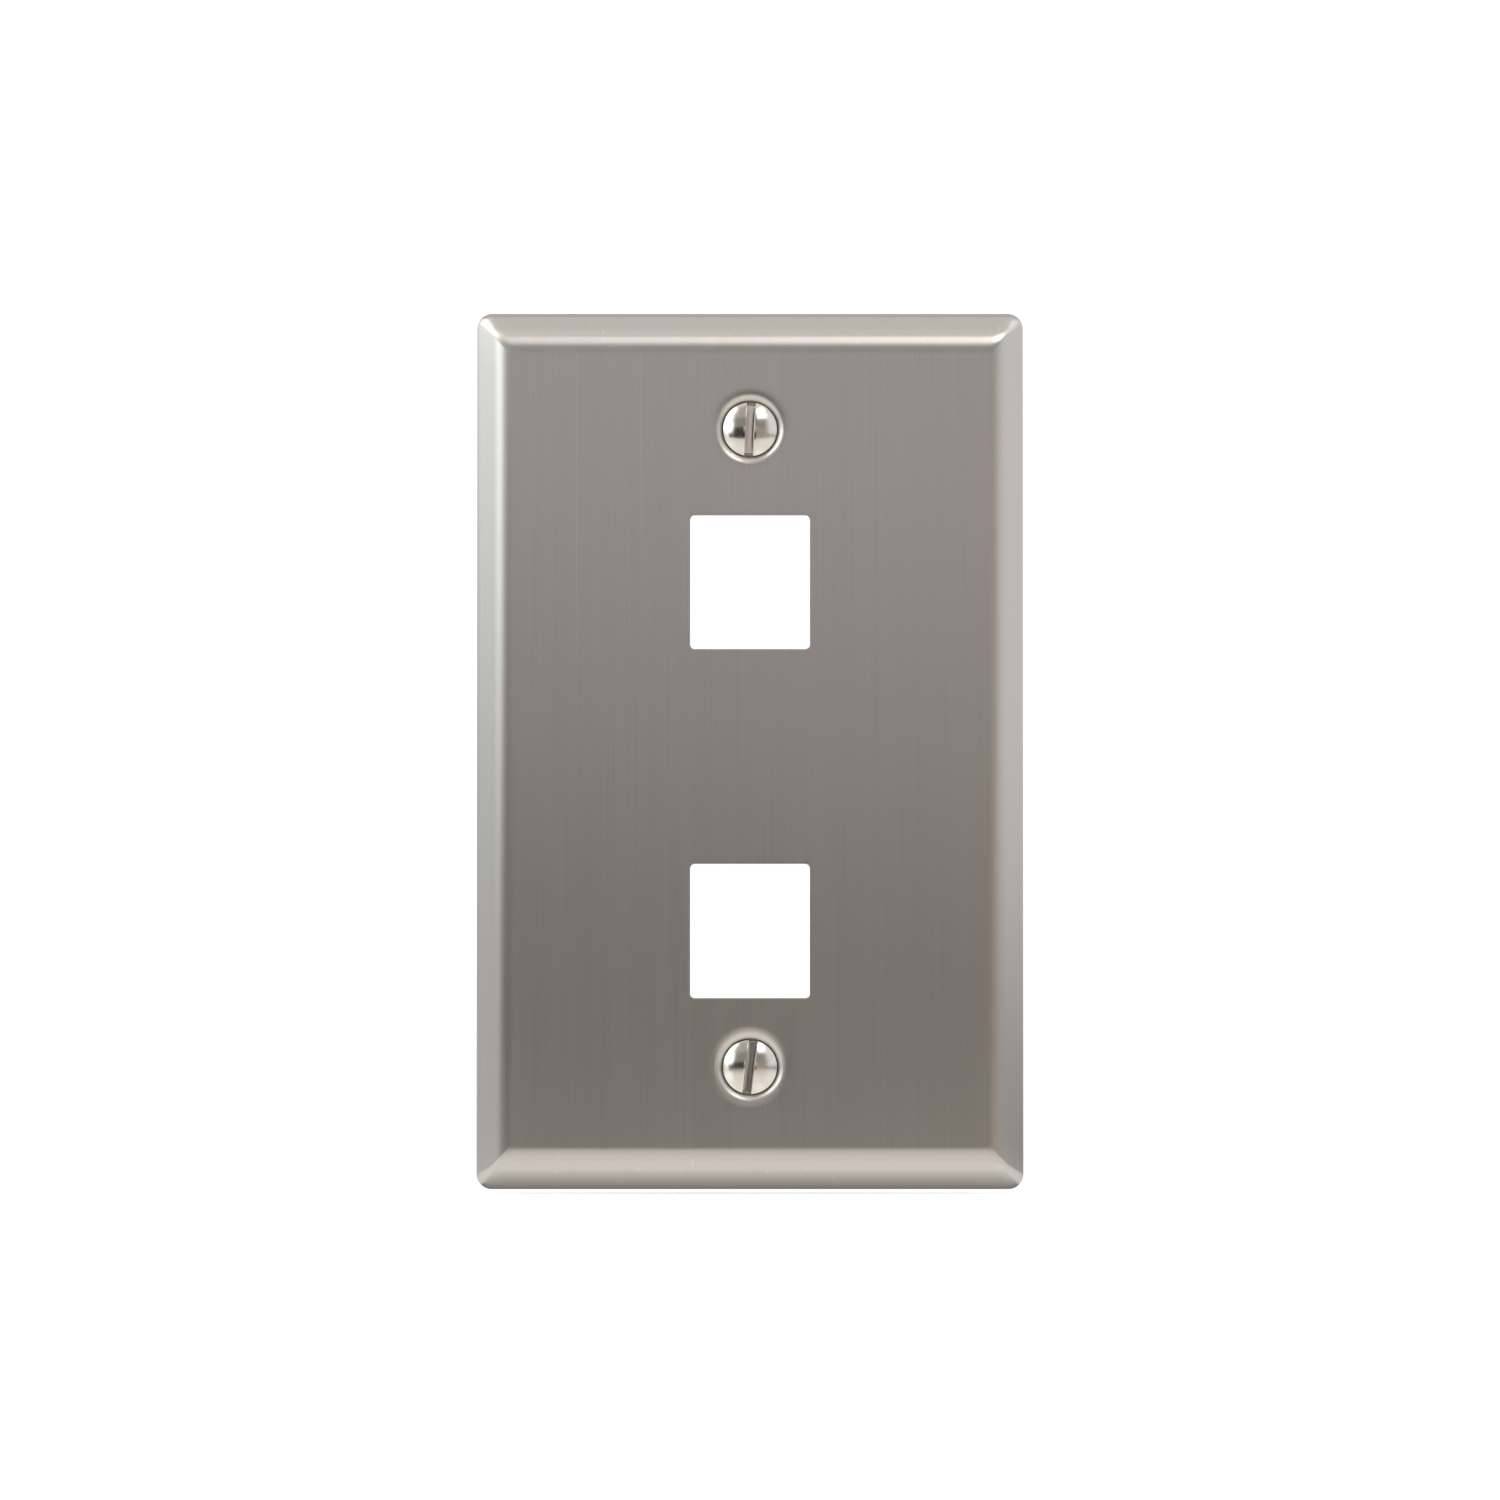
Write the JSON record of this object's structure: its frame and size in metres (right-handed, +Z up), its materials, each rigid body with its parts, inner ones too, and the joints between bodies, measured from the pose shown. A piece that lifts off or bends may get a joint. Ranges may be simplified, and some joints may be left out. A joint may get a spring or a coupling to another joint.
{
  "type": "wall plate",
  "caption": "Single-gang brushed stainless steel wall plate with bevelled edges, rectangular snap-in jack windows one above the other, and slotted oval-head screws.",
  "frame": {"origin": "middle of the wall plane, which the back of the faceplate's rim rests on", "axes": "+Z up the plate, +Y into the wall, so the brushed face looks along -Y; +X to the right, seen from the front"},
  "size_m": [0.0716, 0.0264, 0.1146],
  "materials": {
    "brushed_stainless": "vertical brushed grain, warm grey, satin",
    "nickel_plate": "polished nickel plate, warm white",
    "black_abs": "moulded black plastic with a fine texture",
    "natural_nylon": "natural translucent nylon",
    "copper_flash": "copper-flashed steel",
    "spring_steel": "dark phosphated spring steel"
  },
  "bodies": {
    "plate": {"faceplate": "brushed_stainless", "upper_port_housing": "black_abs", "lower_port_housing": "black_abs", "upper_left_weld_stud": "copper_flash", "upper_right_weld_stud": "copper_flash", "lower_left_weld_stud": "copper_flash", "lower_right_weld_stud": "copper_flash", "upper_left_push_nut": "spring_steel", "upper_right_push_nut": "spring_steel", "lower_left_push_nut": "spring_steel", "lower_right_push_nut": "spring_steel"},
    "upper_retainer": {"upper_screw_retainer": "natural_nylon"},
    "upper_screw": {"upper_screw": "nickel_plate"},
    "lower_retainer": {"lower_screw_retainer": "natural_nylon"},
    "lower_screw": {"lower_screw": "nickel_plate"}
  },
  "joints": [
    {"name": "upper_screw_travel", "type": "slide", "parent": "plate", "child": "upper_retainer", "axis": [0, -1, 0], "range_m": [0, 0.00145]},
    {"name": "upper_screw_turn", "type": "hinge", "parent": "upper_retainer", "child": "upper_screw", "pos_m": [0, 0, 0.04197], "axis": [0, 1, 0], "continuous": true},
    {"name": "lower_screw_travel", "type": "slide", "parent": "plate", "child": "lower_retainer", "axis": [0, -1, 0], "range_m": [0, 0.00145]},
    {"name": "lower_screw_turn", "type": "hinge", "parent": "lower_retainer", "child": "lower_screw", "pos_m": [0, 0, -0.04137], "axis": [0, 1, 0], "continuous": true}
  ]
}
